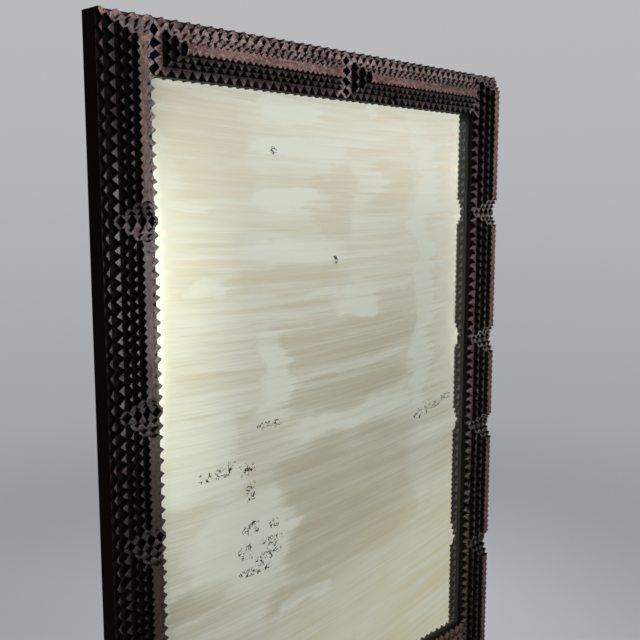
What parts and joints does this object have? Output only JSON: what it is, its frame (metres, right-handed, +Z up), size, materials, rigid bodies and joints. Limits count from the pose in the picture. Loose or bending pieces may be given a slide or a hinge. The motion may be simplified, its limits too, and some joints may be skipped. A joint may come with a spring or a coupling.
{
  "type": "notch-carved wall mirror",
  "caption": "Tall rectangular wall mirror in a dark layered wooden frame whose stepped blocks have V-notched edges; it hangs on wall pins in blind holes at the back.",
  "frame": {"origin": "middle of the top base board's back face, on the wall plane", "axes": "+Z up along the frame's height, +Y out of the back into the wall, -Y the carved front, +X to the right as seen from the front"},
  "size_m": [0.5542, 0.043, 0.7283],
  "materials": {
    "dark_wood": "near-black aged stain, dull satin, worn lighter at the edges",
    "cap_wood": "worn red-brown stain with grain and scuffs",
    "old_mirror": "old silvering, cream toned, streaked and foxed",
    "bare_wood": "bare aged softwood",
    "iron": "dark dull iron"
  },
  "bodies": {
    "root": {"base_left": "dark_wood", "base_right": "dark_wood", "base_top": "dark_wood", "base_bottom": "dark_wood", "edge_left": "dark_wood", "edge_right": "dark_wood", "edge_top": "dark_wood", "edge_bottom": "dark_wood", "left_block_1_step_1": "dark_wood", "left_block_1_step_2": "dark_wood", "left_block_1_step_3": "dark_wood", "left_block_1_cap": "cap_wood", "left_block_2_step_1": "dark_wood", "left_block_2_step_2": "dark_wood", "left_block_2_step_3": "dark_wood", "left_block_2_cap": "cap_wood", "left_block_3_step_1": "dark_wood", "left_block_3_step_2": "dark_wood", "left_block_3_step_3": "dark_wood", "left_block_3_cap": "cap_wood", "left_block_4_step_1": "dark_wood", "left_block_4_step_2": "dark_wood", "left_block_4_step_3": "dark_wood", "left_block_4_cap": "cap_wood", "left_block_5_step_1": "dark_wood", "left_block_5_step_2": "dark_wood", "left_block_5_step_3": "dark_wood", "left_block_5_cap": "cap_wood", "right_block_1_step_1": "dark_wood", "right_block_1_step_2": "dark_wood", "right_block_1_step_3": "dark_wood", "right_block_1_cap": "cap_wood", "right_block_2_step_1": "dark_wood", "right_block_2_step_2": "dark_wood", "right_block_2_step_3": "dark_wood", "right_block_2_cap": "cap_wood", "right_block_3_step_1": "dark_wood", "right_block_3_step_2": "dark_wood", "right_block_3_step_3": "dark_wood", "right_block_3_cap": "cap_wood", "right_block_4_step_1": "dark_wood", "right_block_4_step_2": "dark_wood", "right_block_4_step_3": "dark_wood", "right_block_4_cap": "cap_wood", "right_block_5_step_1": "dark_wood", "right_block_5_step_2": "dark_wood", "right_block_5_step_3": "dark_wood", "right_block_5_cap": "cap_wood", "top_blocks_step_1": "dark_wood", "top_blocks_step_2": "dark_wood", "top_blocks_step_3": "dark_wood", "top_blocks_cap": "cap_wood", "bottom_blocks_step_1": "dark_wood", "bottom_blocks_step_2": "dark_wood", "bottom_blocks_step_3": "dark_wood", "bottom_blocks_cap": "cap_wood", "mirror_glass": "old_mirror", "backboard_planks": "bare_wood", "cap_brads": "iron", "back_brads": "iron"}
  },
  "joints": []
}
